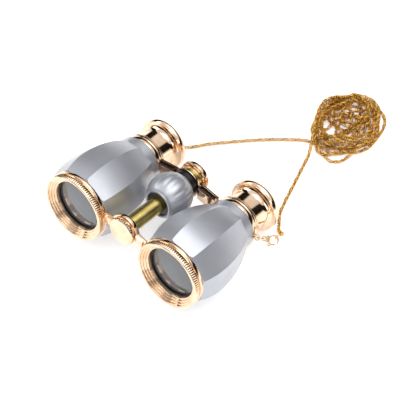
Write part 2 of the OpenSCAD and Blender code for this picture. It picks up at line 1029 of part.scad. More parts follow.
// Smooth curve through the route points, then a tube swept along it.
function bend(a, b, c, d, t) = 0.5 * (2 * b + (c - a) * t
    + (2 * a - 5 * b + 4 * c - d) * t * t
    + (3 * b - a - 3 * c + d) * t * t * t);
function route_point(route, i) = route[max(0, min(len(route) - 1, i))];
function on_floor(p) = [p[0], p[1], max(p[2], chain_r)];
function curve(route) = [
    for (i = [0 : len(route) - 2], j = [0 : rings_per_span - 1])
        on_floor(bend(route_point(route, i - 1), route[i], route[i + 1],
            route_point(route, i + 2), j / rings_per_span)),
    route[len(route) - 1]
];
function unit(v) = v / norm(v);
function heading(path, i) =
    unit(path[min(len(path) - 1, i + 1)] - path[max(0, i - 1)]);
function chain_ring(path, i) =
    let (t = heading(path, i), side = unit(cross(t, [0, 0, 1])), rise = cross(side, t))
    [
        for (k = [0 : chain_sides - 1])
            path[i] + chain_r * (cos(k * 360 / chain_sides) * side
                + sin(k * 360 / chain_sides) * rise)
    ];

module chain_tube(route) {
    path = curve(route);
    last = len(path) - 1;
    points = [for (i = [0 : last]) each chain_ring(path, i)];
    sides = [
        for (i = [0 : last - 1], k = [0 : chain_sides - 1])
            let (n = (k + 1) % chain_sides, a = i * chain_sides)
            each [
                [a + k, a + chain_sides + k, a + chain_sides + n],
                [a + k, a + chain_sides + n, a + n]
            ]
    ];
    first_cap = [for (k = [0 : chain_sides - 1]) k];
    last_cap = [for (k = [chain_sides - 1 : -1 : 0]) last * chain_sides + k];
    polyhedron(points, concat(sides, [first_cap, last_cap]));
}

module chain_run_left() {
    color("#C07A20") chain_tube(left_route);
}

module chain_run_right() {
    color("#C07A20") chain_tube(right_route);
}

// The heap of chain: a flat oval ring with round ends, open in the middle.
module chain_heap() {
    straight = nest_half_length - nest_half_width;
    color("#C07A20")
        translate([nest_centre[0], nest_centre[1], 0])
            linear_extrude(height = nest_height)
                difference() {
                    oval(nest_half_width, straight);
                    oval(nest_half_width - 13, straight);
                }
}

module oval(end_r, straight) {
    for (end = [-1, 1]) {
        translate([0, end * straight])
            circle(r = end_r);
    }
    square([2 * end_r, 2 * straight], center = true);
}

front_bridge();
guide_tube();
guide_tube_stop();
guide_tube_lock_ring();
front_cap();
barrel_shell_left();
barrel_shell_right();
slide_bush_left();
slide_bush_right();
objective_bezel_left();
objective_bezel_right();
objective_stop_ring_left();
objective_stop_ring_right();
objective_lens_left();
objective_lens_right();
objective_retainer_left();
objective_retainer_right();
focus_knob();
knob_front_bush();
spindle_nut();
knob_rear_washer();
focus_spindle();
rear_bridge();
rear_hub_sleeve();
rear_hub_cap();
draw_tube_left();
draw_tube_right();
knurled_collar_left();
knurled_collar_right();
eyecup_left();
eyecup_right();
eye_lens_left();
eye_lens_right();
eye_lens_ring_left();
eye_lens_ring_right();
chain_lug_left();
chain_lug_right();
link_ring_left();
link_ring_right();
clasp_body_left();
clasp_body_right();
clasp_trigger_left();
clasp_trigger_right();
clasp_rivets();
chain_end_ring_left();
chain_end_ring_right();
chain_run_left();
chain_run_right();
chain_heap();
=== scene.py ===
# %% [markdown]
# # Opera glasses on a table, with their chain beside them
# The CAD frame gives every solid its size and place. Here it gets its finish:
# knurled edges, rounded rims, a fluted knob, a twisted chain and the metals.

# %% Load the frame
import math
import bpy
import bmesh
import numpy as np
from mathutils import Matrix, Vector
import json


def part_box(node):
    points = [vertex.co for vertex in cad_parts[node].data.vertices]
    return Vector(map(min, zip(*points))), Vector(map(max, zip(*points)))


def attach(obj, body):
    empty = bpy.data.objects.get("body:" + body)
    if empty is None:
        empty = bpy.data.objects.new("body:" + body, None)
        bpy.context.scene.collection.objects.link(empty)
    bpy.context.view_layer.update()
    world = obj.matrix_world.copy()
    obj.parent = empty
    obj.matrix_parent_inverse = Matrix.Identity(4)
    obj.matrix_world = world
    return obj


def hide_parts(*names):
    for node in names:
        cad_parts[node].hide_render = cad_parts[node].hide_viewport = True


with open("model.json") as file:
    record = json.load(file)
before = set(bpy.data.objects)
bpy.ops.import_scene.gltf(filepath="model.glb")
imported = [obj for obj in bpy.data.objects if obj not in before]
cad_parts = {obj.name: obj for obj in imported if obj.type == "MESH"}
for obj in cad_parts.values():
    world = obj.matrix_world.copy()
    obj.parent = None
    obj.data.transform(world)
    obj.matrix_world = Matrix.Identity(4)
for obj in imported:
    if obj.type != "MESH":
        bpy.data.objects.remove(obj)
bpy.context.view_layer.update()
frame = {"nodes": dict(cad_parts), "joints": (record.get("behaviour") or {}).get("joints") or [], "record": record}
nodes = frame["nodes"]
print("nodes in the frame:", len(nodes))

# %% [markdown]
# ## The optical frame
# The glasses lie with their barrels dipped towards the eyepieces. It is easier to
# model each ring upright, along Y, and to lay it on the table afterwards. The
# direction of the focusing slide says how far the barrels dip, and the lock ring,
# whose middle is known along the tube, says where the tube is.

# %% From the upright frame to the table
MM = 0.001
BARREL_X = 30.0
FOCUS_HEIGHT = 6.2
LOCK_RING_MIDDLE = 6.55


def joint_named(name):
    return next(j for j in frame["joints"] if j["name"] == name)


def middle(node):
    low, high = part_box(node)
    return (low + high) / 2


forward = Vector(joint_named("focus_slide")["axis"])
dip = math.atan2(forward.z, -forward.y)
dip_turn = Matrix.Rotation(-dip, 4, "X")
ring_at = Vector((0, LOCK_RING_MIDDLE, FOCUS_HEIGHT)) * MM
LAID = Matrix.Translation(middle("guide_tube_lock_ring") - dip_turn @ ring_at) @ dip_turn


def on_table(x, y, z):
    """A point of the upright frame, in mm, as a point on the table in metres."""
    return LAID @ (Vector((x, y, z)) * MM)


print("barrels dip by", round(math.degrees(dip), 2), "degrees")

# %% [markdown]
# ## Camera
# A long lens from far away flattens the view, as in a catalogue picture. The camera
# looks down steeply at the fronts of the barrels and a little past them, so that
# the heap of chain behind has room on the right.

# %% Camera
VIEW_TURN = math.radians(40.76)
VIEW_HEIGHT = math.radians(52.45)
VIEW_DISTANCE = 0.668
VIEW_RIGHT = 0.01908
VIEW_UP = 0.00496
LENS = 124.4

away = Vector((
    math.sin(VIEW_TURN) * math.cos(VIEW_HEIGHT),
    -math.cos(VIEW_TURN) * math.cos(VIEW_HEIGHT),
    math.sin(VIEW_HEIGHT),
))
right = Vector((math.cos(VIEW_TURN), math.sin(VIEW_TURN), 0))
up = away.cross(right)
looked_at = on_table(0, 30, 0)
camera_data = bpy.data.cameras.new("camera")
camera_data.lens = LENS
camera_data.sensor_width = 36
camera_data.clip_start = 0.01
camera_data.clip_end = 20
camera = bpy.data.objects.new("camera", camera_data)
bpy.context.scene.collection.objects.link(camera)
axes = Matrix((right, up, away)).transposed().to_4x4()
eye = looked_at + away * VIEW_DISTANCE + right * VIEW_RIGHT + up * VIEW_UP
camera.matrix_world = Matrix.Translation(eye) @ axes
bpy.context.scene.camera = camera
print("camera at", [round(c, 3) for c in eye])

# %% [markdown]
# ## The chain's way
# The chain is one soft cord. It leaves the left clasp, drops to the table, runs to
# the heap, goes round and round in it and comes back to the right clasp. The two
# runs follow the same points as the CAD tubes. The heap is drawn as turns of an
# oval whose middle and width wander from turn to turn, with a little waviness. Each
# row of the list is one turn: its middle, half its width and half its length, in mm.

# %% Curves through points
CLASP_TURN = math.radians(34)
RIGHT_HANG = (0, math.radians(45))
LEFT_HANG = (math.radians(72), 0)
LUG_X = 44.5
LUG_Y = 49.9
LOOP_X = 7.8
END_RING_TURN = math.radians(50)
CHAIN_REACH = 4.5


def clasp_point(x, y, hang, side):
    """A point in the flat plane of a clasp that hangs by a drop and a roll."""
    drop, roll = hang
    across = y * math.cos(roll)
    rise = y * math.sin(roll)
    out = x * math.cos(drop) + rise * math.sin(drop)
    return on_table(
        side * (LUG_X + out * math.cos(CLASP_TURN) - across * math.sin(CLASP_TURN)),
        LUG_Y + out * math.sin(CLASP_TURN) + across * math.cos(CLASP_TURN),
        rise * math.cos(drop) - x * math.sin(drop),
    )


def bend(a, b, c, d, t):
    return 0.5 * (
        2 * b + (c - a) * t
        + (2 * a - 5 * b + 4 * c - d) * t * t
        + (3 * b - a - 3 * c + d) * t * t * t
    )


def smooth(points, per_span):
    """A smooth curve through points, with per_span points in each span."""
    points = [np.array(p, float) for p in points]
    last = len(points) - 1
    found = []
    for i in range(last):
        a, b = points[max(i - 1, 0)], points[i]
        c, d = points[i + 1], points[min(i + 2, last)]
        found += [bend(a, b, c, d, j / per_span) for j in range(per_span)]
    return np.array(found + [points[-1]])


def evenly(points, step):
    """The same line with its points step apart."""
    gone = np.r_[0, np.cumsum(np.linalg.norm(np.diff(points, axis=0), axis=1))]
    at = np.linspace(0, gone[-1], int(round(gone[-1] / step)) + 1)
    return np.stack([np.interp(at, gone, points[:, k]) for k in range(3)], axis=1)


# %% Turns of the heap
HEAP_TURNS = [
    (28.5, 110, 14.0, 19.0),
    (27.5, 111, 15.5, 19.5),
    (24.0, 117, 8.5, 10.5),
    (22.0, 111, 7.5, 12.0),
    (27.5, 111, 14.0, 18.0),
    (31.0, 103, 9.0, 9.5),
    (24.5, 116, 7.0, 9.5),
    (28.6, 113.3, 15.8, 24.2),
    (28.0, 111, 13.0, 17.0),
    (33.5, 110, 7.0, 13.5),
    (24.0, 104, 8.5, 9.5),
    (23.5, 117, 6.0, 7.5),
    (29.5, 108, 13.0, 22.0),
    (27.0, 111, 14.0, 18.0),
    (30.0, 118, 8.0, 10.0),
    (24.5, 109, 9.5, 14.0),
    (27.0, 111, 14.5, 19.0),
]
POINTS_A_TURN = 22
HEAP_START = -98
HEAP_END = HEAP_START + 360 * 15 + 308


def heap_points():
    rows = smooth(HEAP_TURNS, POINTS_A_TURN)
    found = []
    count = int((HEAP_END - HEAP_START) / 360 * POINTS_A_TURN) + 1
    for i in range(count):
        turn = i / POINTS_A_TURN
        angle = math.radians(HEAP_START + 360 * turn)
        x, y, half_x, half_y = rows[i]
        wave = 1 + 0.05 * math.sin(3 * angle + 1.9 * turn)
        wave += 0.035 * math.sin(5 * angle + 3.1 * turn)
        found.append((
            x + half_x * wave * math.cos(angle),
            y + half_y * wave * math.sin(angle),
            1,
        ))
    return found


def chain_end(hang, side):
    return np.array(clasp_point(
        LOOP_X + CHAIN_REACH * math.cos(END_RING_TURN),
        CHAIN_REACH * math.sin(END_RING_TURN),
        hang, side,
    )) / MM


right_end = chain_end(RIGHT_HANG, 1)
left_end = chain_end(LEFT_HANG, -1)
right_run = [
    right_end, right_end + [-1.3, 3.2, -6], right_end + [-4.5, 6.8, -12],
    (43, 35.2, 1), (40.6, 38.4, 1), (37, 43.6, 1), (34.3, 51, 1), (31.6, 60, 1),
    (27, 75, 1),
]
left_run = [
    left_end, left_end + [-1.4, 4.5, -3.4], (-47.5, 29.5, 1), (-44.5, 35.5, 1),
    (-38, 40.5, 1), (-30, 43, 1), (-24, 48, 1), (-18, 56, 1), (0, 75, 1), (14, 87, 1),
]
way = [*left_run, (19.5, 90, 1), *heap_points(), (21, 90.5, 1), (24.5, 83, 1)]
way += right_run[::-1]
STEP = 0.5
flat_way = evenly(smooth(way, 8), STEP)
print("length of the chain:", round(len(flat_way) * STEP), "mm")

# %% [markdown]
# ## Letting the chain lie on itself
# A real chain falls turn by turn, and each turn rests on what already lies there.
# The same is worked out here: every point is lifted just enough to clear the
# earlier chain under it, and the lift is spread along the chain in low humps,
# because even a limp chain can't make a corner. A cord simulation would do it too,
# but this takes a second and always gives the same heap.

# %% Heights
RESTING_HEIGHT = 1.1
NEAR_TABLE = 3
OWN_NEIGHBOURS = 12
ROUNDS = 14
NESTED = 1.5
HUMP_R = 4.0
HUMP_REACH = 20
SOFTEN = 0.8


def lay(points):
    lowest = np.maximum(points[:, 2], RESTING_HEIGHT)
    apart = np.linalg.norm(points[:, None, :2] - points[None, :, :2], axis=2)
    order = np.arange(len(points))
    low = lowest < NEAR_TABLE
    under = (apart < NESTED) & (order[None] < order[:, None] - OWN_NEIGHBOURS)
    under &= low[None] & low[:, None]
    rise = np.sqrt(np.maximum(NESTED ** 2 - apart ** 2, 0))
    reach = np.arange(-HUMP_REACH, HUMP_REACH + 1)
    soft = np.exp(-0.5 * (np.arange(-5, 6) * STEP / SOFTEN) ** 2)
    soft /= soft.sum()
    height = lowest.copy()
    for _ in range(ROUNDS):
        need = np.maximum(lowest, np.where(under, height[None] + rise, 0).max(1))
        padded = np.pad(need, HUMP_REACH)
        for m in reach:
            hump = padded[HUMP_REACH + m:][:len(need)] - (m * STEP) ** 2 / (2 * HUMP_R)
            need = np.maximum(need, hump)
        height = np.convolve(np.pad(need, 5, mode="edge"), soft, mode="valid")
        height = np.maximum(height, RESTING_HEIGHT)
    return np.c_[points[:, :2], height]


chain_way = lay(flat_way)
heap_top = chain_way[chain_way[:, 1] > 84][:, 2].max()
print("top of the heap:", round(heap_top, 1), "mm")

# %% [markdown]
# ## The twisted chain
# A rope chain is made of small soldered rings, each leaning the same way and turned
# a little from the last, so that together they read as a twisted ribbon. One ring is
# drawn with few faces, because there are more than a thousand of them, and copied
# along the way. The frame that carries them turns as little as it can, so the twist
# comes only from the rings. This is done on arrays: an operator for each ring would
# take minutes.

# %% Rings along the way
RING_R = 0.82
RING_WIRE_R = 0.28
RING_SPACING = 0.9
RING_LEAN = math.radians(44)
RING_TWIST = math.radians(48)
RING_SEGMENTS = 8
WIRE_SIDES = 5


def carried_frames(points):
    """Direction and one side vector at each point, with no twist of their own."""
    ahead = np.gradient(points, axis=0)
    ahead /= np.linalg.norm(ahead, axis=1)[:, None]
    side = np.cross(ahead[0], [0, 0, 1.0])
    sides = []
    for t in ahead:
        side = side - t * side.dot(t)
        side = side / np.linalg.norm(side)
        sides.append(side)
    return ahead, np.array(sides)


def one_ring():
    """Points of a ring round Z and its faces."""
    points = []
    for i in range(RING_SEGMENTS):
        a = 2 * math.pi * i / RING_SEGMENTS
        for k in range(WIRE_SIDES):
            b = 2 * math.pi * k / WIRE_SIDES
            r = RING_R + RING_WIRE_R * math.cos(b)
            points.append((r * math.cos(a), r * math.sin(a), RING_WIRE_R * math.sin(b)))
    faces = []
    for i in range(RING_SEGMENTS):
        j = (i + 1) % RING_SEGMENTS
        for k in range(WIRE_SIDES):
            m = (k + 1) % WIRE_SIDES
            faces.append((
                i * WIRE_SIDES + k, j * WIRE_SIDES + k,
                j * WIRE_SIDES + m, i * WIRE_SIDES + m,
            ))
    return np.array(points), np.array(faces)


def chain_mesh(way_mm):
    points = evenly(way_mm, RING_SPACING)
    ahead, sides = carried_frames(points)
    others = np.cross(ahead, sides)
    ring, faces = one_ring()
    turned = np.arange(len(points)) * RING_TWIST
    across = sides * np.cos(turned)[:, None] + others * np.sin(turned)[:, None]
    normal = np.cross(ahead, across)
    along = ahead * math.cos(RING_LEAN) + normal * math.sin(RING_LEAN)
    facing = np.cross(across, along)
    places = (
        points[:, None]
        + ring[None, :, 0, None] * across[:, None]
        + ring[None, :, 1, None] * along[:, None]
        + ring[None, :, 2, None] * facing[:, None]
    )
    offset = places - points[:, None]
    along_way = np.einsum("ijk,ik->ij", offset, ahead)
    outward = np.sqrt(np.maximum((offset ** 2).sum(axis=2) - along_way ** 2, 0))
    all_faces = faces[None] + (np.arange(len(points)) * len(ring))[:, None, None]
    mesh = bpy.data.meshes.new("chain")
    mesh.from_pydata(
        (places.reshape(-1, 3) * MM).tolist(), [], all_faces.reshape(-1, 4).tolist()
    )
    mesh.polygons.foreach_set("use_smooth", [True] * len(mesh.polygons))
    # How far out each point lies, from the chain's line to the rings' outside; the chain's material paints shade
    # between the rings and a highlight outside from it.
    painted_shade_and_highlight = mesh.attributes.new("painted_shade_and_highlight", "FLOAT", "POINT")
    painted_shade_and_highlight.data.foreach_set("value", (outward / (RING_R + RING_WIRE_R)).ravel())
    mesh.update()
    return mesh


chain = bpy.data.objects.new("chain", chain_mesh(chain_way))
bpy.context.scene.collection.objects.link(chain)
print("triangles in the chain:", 2 * len(chain.data.polygons))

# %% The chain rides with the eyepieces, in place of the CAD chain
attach(chain, "eyepieces")
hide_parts("chain_run_left", "chain_run_right", "chain_heap")

# %% [markdown]
# ## Finishes
# One function turns the hex colour that a person reads into the linear light that
# the renderer works in, and one adds a node with its settings and its links.

# %% Helpers for materials


def linear(code):
    """An sRGB hex colour as linear RGBA."""
    found = []
    for i in (1, 3, 5):
        c = int(code[i:i + 2], 16) / 255
        found.append(c / 12.92 if c <= 0.04045 else ((c + 0.055) / 1.055) ** 2.4)
    return (*found, 1)


def add(tree, kind, settings=None, **links):
    """Adds a node, sets its properties, and sets or links its inputs by name."""
    node = tree.nodes.new(kind)
    for key, value in (settings or {}).items():
        setattr(node, key, value)
    for key, value in links.items():
        socket = node.inputs[int(key[1:]) if key[1:].isdigit() else key.replace("_", " ")]
        if isinstance(value, bpy.types.NodeSocket):
            tree.links.new(value, socket)
        else:
            socket.default_value = value
    return node


def new_material(name):
    material = bpy.data.materials.new(name)
    material.use_nodes = True
    tree = material.node_tree
    tree.nodes.clear()
    shader = tree.nodes.new("ShaderNodeBsdfPrincipled")
    out = tree.nodes.new("ShaderNodeOutputMaterial")
    tree.links.new(shader.outputs["BSDF"], out.inputs["Surface"])
    return material, tree, shader


def ramp(tree, fac, stops):
    """A colour ramp with stops of (place, colour)."""
    node = add(tree, "ShaderNodeValToRGB", Fac=fac)
    elements = node.color_ramp.elements
    while len(elements) < len(stops):
        elements.new(0.5)
    for element, (place, colour) in zip(elements, stops):
        element.position = place
        element.color = colour
    return node


# %% [markdown]
# ### Rose-gold plate
# Brass parts are turned, buffed and plated with a copper-rich gold. Buffing leaves a
# mirror with very faint cloudy smears, and the plate is a touch redder where it is
# thick. So the colour changes very little and slowly, over about 6 mm, and only the
# roughness carries the finger-wiped look.

# %% Rose-gold plate


def rose_gold_plate():
    material, tree, shader = new_material("rose_gold_plate")
    place = add(tree, "ShaderNodeTexCoord")
    cloud = add(
        tree, "ShaderNodeTexNoise", Vector=place.outputs["Object"],
        Scale=160.0, Detail=3.0, Roughness=0.55,
    )
    smear = add(
        tree, "ShaderNodeTexNoise", Vector=place.outputs["Object"],
        Scale=900.0, Detail=2.0,
    )
    colour = ramp(tree, cloud.outputs["Fac"], [
        (0.35, linear("#E4C2A2")), (0.65, linear("#F0D6BA")),
    ])
    rough = add(
        tree, "ShaderNodeMapRange", Value=smear.outputs["Fac"],
        From_Min=0.3, From_Max=0.7, To_Min=0.05, To_Max=0.12,
    )
    tree.links.new(colour.outputs["Color"], shader.inputs["Base Color"])
    tree.links.new(rough.outputs["Result"], shader.inputs["Roughness"])
    shader.inputs["Metallic"].default_value = 1.0
    return material


ROSE_GOLD = rose_gold_plate()
print("made", ROSE_GOLD.name)

# %% [markdown]
# ### Pearl lacquer
# The barrels are pressed brass, sprayed with grey lacquer full of mica flakes, then
# a clear coat. The flakes lie nearly flat, so the grey turns light or dark with the
# angle, like a dull metal under glass. The flakes are under 0.1 mm, too fine to see
# here, and are drawn at 0.25 mm as a faint change of the grey.

# %% Pearl lacquer


def pearl_lacquer():
    material, tree, shader = new_material("pearl_lacquer")
    place = add(tree, "ShaderNodeTexCoord")
    flakes = add(
        tree, "ShaderNodeTexVoronoi", Vector=place.outputs["Object"], Scale=4000.0,
    )
    spray = add(
        tree, "ShaderNodeTexNoise", Vector=place.outputs["Object"],
        Scale=70.0, Detail=2.0,
    )
    grain = add(
        tree, "ShaderNodeMix", {"data_type": "FLOAT"},
        Factor=0.6, i2=flakes.outputs["Distance"], i3=spray.outputs["Fac"],
    )
    colour = ramp(tree, grain.outputs[0], [
        (0.2, linear("#A4A6AC")), (0.7, linear("#B8BAC1")),
    ])
    orange_peel = add(
        tree, "ShaderNodeBump", Strength=0.04, Distance=0.0001,
        Height=flakes.outputs["Distance"],
    )
    tree.links.new(colour.outputs["Color"], shader.inputs["Base Color"])
    tree.links.new(orange_peel.outputs["Normal"], shader.inputs["Normal"])
    shader.inputs["Metallic"].default_value = 0.7
    shader.inputs["Roughness"].default_value = 0.42
    shader.inputs["Coat Weight"].default_value = 0.35
    shader.inputs["Coat Roughness"].default_value = 0.15
    return material


PEARL = pearl_lacquer()
print("made", PEARL.name)

# %% [markdown]
# ### Turned brass
# The guide tube and the small focusing parts are bare brass, left as the lathe tool
# cut them: fine rings, about 0.2 mm apart, and an olive tone where it has dulled.
# The rings run round the tube, so their wave runs along it. A Mapping node turns the
# pattern to lie along the dipped tube.

# %% Turned brass


def turned_brass():
    material, tree, shader = new_material("turned_brass")
    place = add(tree, "ShaderNodeTexCoord")
    along = add(
        tree, "ShaderNodeMapping", Vector=place.outputs["Object"],
        Rotation=(dip, 0, 0),
    )
    rings = add(
        tree, "ShaderNodeTexWave", {"bands_direction": "Y"},
        Vector=along.outputs["Vector"], Scale=800.0, Distortion=0.6, Detail=2.0,
    )
    tone = add(
        tree, "ShaderNodeTexNoise", Vector=along.outputs["Vector"],
        Scale=220.0, Detail=4.0,
    )
    colour = ramp(tree, tone.outputs["Fac"], [
        (0.3, linear("#C4AC5C")), (0.7, linear("#E4CE88")),
    ])
    rough = add(
        tree, "ShaderNodeMapRange", Value=rings.outputs["Fac"],
        To_Min=0.2, To_Max=0.34,
    )
    cut = add(
        tree, "ShaderNodeBump", Strength=0.12, Distance=0.00005,
        Height=rings.outputs["Fac"],
    )
    tree.links.new(colour.outputs["Color"], shader.inputs["Base Color"])
    tree.links.new(rough.outputs["Result"], shader.inputs["Roughness"])
    tree.links.new(cut.outputs["Normal"], shader.inputs["Normal"])
    shader.inputs["Metallic"].default_value = 1.0
    return material


BRASS = turned_brass()
print("made", BRASS.name)

# %% [markdown]
# ### Black oxide, black acetal and lens glass
# The lock ring and the rings beside the lenses are blackened brass, matt so that
# they kill stray light. The bush and the washer that the knob turns on are black
# acetal, a slippery plastic with a waxy sheen. The lenses are crown glass with a
# grey anti-reflection coating, which hides the dark inside of the barrel.

# %% Dark parts and glass


def black_oxide():
    material, tree, shader = new_material("black_oxide")
    place = add(tree, "ShaderNodeTexCoord")
    mottle = add(
        tree, "ShaderNodeTexNoise", Vector=place.outputs["Object"],
        Scale=1400.0, Detail=3.0,
    )
    colour = ramp(tree, mottle.outputs["Fac"], [
        (0.35, linear("#17130F")), (0.7, linear("#332A20")),
    ])
    tree.links.new(colour.outputs["Color"], shader.inputs["Base Color"])
    shader.inputs["Metallic"].default_value = 0.7
    shader.inputs["Roughness"].default_value = 0.38
    return material


def black_acetal():
    material, tree, shader = new_material("black_acetal")
    place = add(tree, "ShaderNodeTexCoord")
    moulding = add(
        tree, "ShaderNodeTexNoise", Vector=place.outputs["Object"],
        Scale=2500.0, Detail=2.0,
    )
    skin = add(
        tree, "ShaderNodeBump", Strength=0.15, Distance=0.00003,
        Height=moulding.outputs["Fac"],
    )
    tree.links.new(skin.outputs["Normal"], shader.inputs["Normal"])
    shader.inputs["Base Color"].default_value = linear("#131315")
    shader.inputs["Roughness"].default_value = 0.3
    shader.inputs["IOR"].default_value = 1.48
    return material


def coated_glass():
    material, tree, shader = new_material("coated_glass")
    place = add(tree, "ShaderNodeTexCoord")
    film = add(
        tree, "ShaderNodeTexNoise", Vector=place.outputs["Object"],
        Scale=60.0, Detail=1.0,
    )
    colour = ramp(tree, film.outputs["Fac"], [
        (0.3, linear("#5A5E64")), (0.7, linear("#666A70")),
    ])
    tree.links.new(colour.outputs["Color"], shader.inputs["Base Color"])
    shader.inputs["Roughness"].default_value = 0.04
    shader.inputs["IOR"].default_value = 1.52
    shader.inputs["Transmission Weight"].default_value = 0.15
    shader.inputs["Coat Weight"].default_value = 0.5
    shader.inputs["Coat Roughness"].default_value = 0.02
    return material


BLACK_METAL = black_oxide()
BLACK_PLASTIC = black_acetal()
GLASS = coated_glass()
print("made", BLACK_METAL.name, BLACK_PLASTIC.name, GLASS.name)

# %% [markdown]
# ### Gilt chain and champagne clasps
# The chain is brass wire with a deep yellow-gold plate. Its colour carries painted light:
# a painted highlight, pale yellow, on the outside of the rings, and painted shade,
# dark red-brown, in between, where the rings shade each other. Every point of the chain
# knows how far out it is, and that sets where the painted shade and highlight lie. The
# clasps are newer, and paler, like the trim.

# %% Gilt wire and clasps


def gilt_wire():
    material, tree, shader = new_material("gilt_wire")
    painted_shade_and_highlight = add(tree, "ShaderNodeAttribute", {"attribute_name": "painted_shade_and_highlight"})
    # Painted shade, dark red-brown, deep between the rings, and a painted highlight, pale yellow, on their
    # outsides.
    colour = ramp(tree, painted_shade_and_highlight.outputs["Fac"], [
        (0.4, linear("#431606")), (0.68, linear("#BE7C26")), (0.92, linear("#FFD272")),
    ])
    rough = add(
        tree, "ShaderNodeMapRange", Value=painted_shade_and_highlight.outputs["Fac"],
        From_Min=0.5, From_Max=1.0, To_Min=0.5, To_Max=0.16,
    )
    tree.links.new(colour.outputs["Color"], shader.inputs["Base Color"])
    tree.links.new(rough.outputs["Result"], shader.inputs["Roughness"])
    shader.inputs["Metallic"].default_value = 1.0
    return material


def champagne_gold():
    material, tree, shader = new_material("champagne_gold")
    place = add(tree, "ShaderNodeTexCoord")
    dulled = add(
        tree, "ShaderNodeTexNoise", Vector=place.outputs["Object"],
        Scale=700.0, Detail=3.0,
    )
    colour = ramp(tree, dulled.outputs["Fac"], [
        (0.35, linear("#CFA878")), (0.65, linear("#F2D9B0")),
    ])
    tree.links.new(colour.outputs["Color"], shader.inputs["Base Color"])
    shader.inputs["Metallic"].default_value = 1.0
    shader.inputs["Roughness"].default_value = 0.14
    return material


GILT = gilt_wire()
CHAMPAGNE = champagne_gold()
print("made", GILT.name, CHAMPAGNE.name)

# %% Every CAD node gets its finish
FINISHES = {
    "rose_gold": ROSE_GOLD,
    "painted_shell": PEARL,
    "brass_gear": BRASS,
    "black_metal": BLACK_METAL,
    "black_plastic": BLACK_PLASTIC,
    "lens_glass": GLASS,
    "chain_gold": CHAMPAGNE,
}


def finish_with(piece, material):
    piece.data.materials.clear()
    piece.data.materials.append(material)


for part in frame["record"]["subparts"]:
    finish_with(nodes[part["node"]], FINISHES[part["material_slot"]])
finish_with(chain, GILT)

# %% [markdown]
# ## Turning rings on a lathe
# Nearly every metal part is round, so it is made as a turner makes it: the outline
# of half a section is drawn point by point by extruding one vertex, then spun round
# Y. The outlines draw their own small rounds and chamfers, and soften rounds sharp
# edges with a bevel of about a tenth of a millimetre, because a polished edge always
# shows a thin bright line.

# %% The lathe


def deselect():
    bpy.ops.object.select_all(action="DESELECT")


def edit(piece):
    deselect()
    piece.select_set(True)
    bpy.context.view_layer.objects.active = piece
    bpy.ops.object.mode_set(mode="EDIT")


def done():
    bpy.ops.object.mode_set(mode="OBJECT")


def apply(piece, kind, **settings):
    deselect()
    piece.select_set(True)
    bpy.context.view_layer.objects.active = piece
    modifier = piece.modifiers.new(kind.lower(), kind)
    for key, value in settings.items():
        setattr(modifier, key, value)
    bpy.ops.object.modifier_apply(modifier=modifier.name)


def lathe(name, outline, steps, closed=True):
    """Spins an outline of (radius, along) points, in mm, round the Y axis."""
    deselect()
    bpy.ops.mesh.primitive_plane_add(size=MM)
    piece = bpy.context.object
    piece.name = name
    piece.data.name = name
    edit(piece)
    bpy.ops.mesh.select_all(action="SELECT")
    bpy.ops.mesh.merge(type="CENTER")
    points = [Vector((r, y, 0)) * MM for r, y in outline]
    if closed:
        points.append(points[0])
    bpy.ops.transform.translate(value=points[0])
    for a, b in zip(points, points[1:]):
        bpy.ops.mesh.extrude_vertices_move(TRANSFORM_OT_translate={"value": b - a})
    bpy.ops.mesh.select_all(action="SELECT")
    bpy.ops.mesh.remove_doubles(threshold=1e-6)
    bpy.ops.mesh.select_all(action="SELECT")
    bpy.ops.mesh.spin(steps=steps, angle=2 * math.pi, center=(0, 0, 0), axis=(0, 1, 0))
    bpy.ops.mesh.select_all(action="SELECT")
    bpy.ops.mesh.remove_doubles(threshold=1e-6)
    bpy.ops.mesh.select_all(action="SELECT")
    bpy.ops.mesh.normals_make_consistent(inside=False)
    done()
    return piece


def soften(piece, width=0.1, limit=35, segments=2):
    """Rounds the edges that turn by more than limit degrees, and smooths the rest."""
    apply(
        piece, "BEVEL", width=width * MM, segments=segments,
        limit_method="ANGLE", angle_limit=math.radians(limit),
    )
    smooth_faces(piece, 32)


def smooth_faces(piece, angle):
    deselect()
    piece.select_set(True)
    bpy.context.view_layer.objects.active = piece
    bpy.ops.object.shade_smooth_by_angle(angle=math.radians(angle))


def arc(x, y, r, first, last, count):
    """Points of an arc in the outline, from the first to the last degree."""
    found = []
    for i in range(count + 1):
        a = math.radians(first + (last - first) * i / count)
        found.append((x + r * math.cos(a), y + r * math.sin(a)))
    return found


def fit(piece, x, z, body, slot, *replaced):
    """Lays a piece made upright in its place, gives it its finish and hides the CAD nodes that it stands for."""
    piece.data.transform(LAID @ Matrix.Translation(Vector((x, 0, z)) * MM))
    piece.data.update()
    finish_with(piece, FINISHES[slot])
    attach(piece, body)
    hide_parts(*replaced)


def copy_of(piece, name):
    twin = piece.copy()
    twin.data = piece.data.copy()
    twin.name = twin.data.name = name
    bpy.context.scene.collection.objects.link(twin)
    return twin


def pair(piece, body, slot, node):
    """A piece on the right barrel and its copy on the left one."""
    twin = copy_of(piece, node + "_left_detail")
    piece.name = piece.data.name = node + "_right_detail"
    fit(twin, -BARREL_X, 0, body, slot, node + "_left")
    fit(piece, BARREL_X, 0, body, slot, node + "_right")


# %% [markdown]
# ## Knurling
# A knurled edge is a ring of straight, evenly spaced teeth. The ring is spun with two
# steps for each tooth, and then every second row of points in the band is drawn in
# towards the axis, which leaves V-shaped grooves.

# %% Knurling


